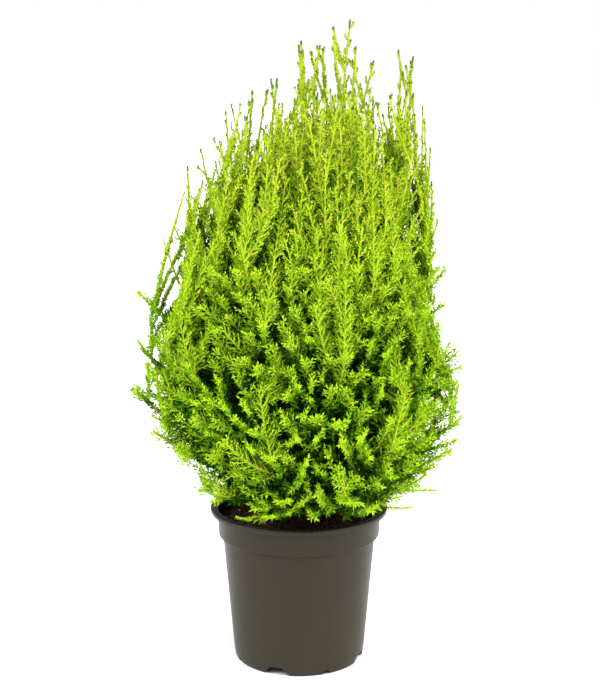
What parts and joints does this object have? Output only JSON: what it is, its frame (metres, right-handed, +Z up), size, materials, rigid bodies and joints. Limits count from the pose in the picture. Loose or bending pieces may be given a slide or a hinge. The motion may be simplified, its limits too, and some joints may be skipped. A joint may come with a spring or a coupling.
{
  "type": "potted lemon cypress",
  "caption": "Young upright conifer with feathery lime-green foliage on a slim trunk, growing in a round dark nursery pot filled with soil.",
  "frame": {"origin": "middle of the pot's underside, on the level that the pot stands on", "axes": "+Z up along the pot's axis; the side that the picture shows faces -Y, with +X to the viewer's right"},
  "size_m": [0.314, 0.298, 0.602],
  "materials": {
    "pot_plastic": "satin dark grey-brown injection-moulded plastic",
    "soil": "crumbly moist dark peat",
    "bark": "thin reddish-brown bark, matt",
    "foliage": "lime-green needles, soft satin"
  },
  "bodies": {
    "root": {"bough_back": "bark", "bough_left": "bark", "bough_middle": "bark", "bough_rear": "bark", "bough_right": "bark", "bough_shoulder_1": "bark", "bough_shoulder_2": "bark", "bough_shoulder_3": "bark", "bough_shoulder_4": "bark", "bough_shoulder_5": "bark", "bough_shoulder_6": "bark", "bough_upper_1": "bark", "bough_upper_2": "bark", "bough_upper_3": "bark", "bough_upper_4": "bark", "bough_upper_5": "bark", "bough_upper_6": "bark", "foliage_back": "foliage", "foliage_hem_1": "foliage", "foliage_hem_2": "foliage", "foliage_hem_3": "foliage", "foliage_hem_4": "foliage", "foliage_hem_5": "foliage", "foliage_left": "foliage", "foliage_middle": "foliage", "foliage_rear": "foliage", "foliage_right": "foliage", "foliage_shoulder_1": "foliage", "foliage_shoulder_2": "foliage", "foliage_shoulder_3": "foliage", "foliage_shoulder_4": "foliage", "foliage_shoulder_5": "foliage", "foliage_shoulder_6": "foliage", "foliage_skirt_1": "foliage", "foliage_skirt_2": "foliage", "foliage_skirt_3": "foliage", "foliage_skirt_4": "foliage", "foliage_skirt_5": "foliage", "foliage_skirt_6": "foliage", "foliage_skirt_7": "foliage", "foliage_top": "foliage", "foliage_upper_1": "foliage", "foliage_upper_2": "foliage", "foliage_upper_3": "foliage", "foliage_upper_4": "foliage", "foliage_upper_5": "foliage", "foliage_upper_6": "foliage", "foliage_waist_1": "foliage", "foliage_waist_2": "foliage", "foliage_waist_3": "foliage", "foliage_waist_4": "foliage", "foliage_waist_5": "foliage", "foliage_waist_6": "foliage", "foliage_waist_7": "foliage", "pot": "pot_plastic", "soil": "soil", "trunk": "bark"}
  },
  "joints": []
}
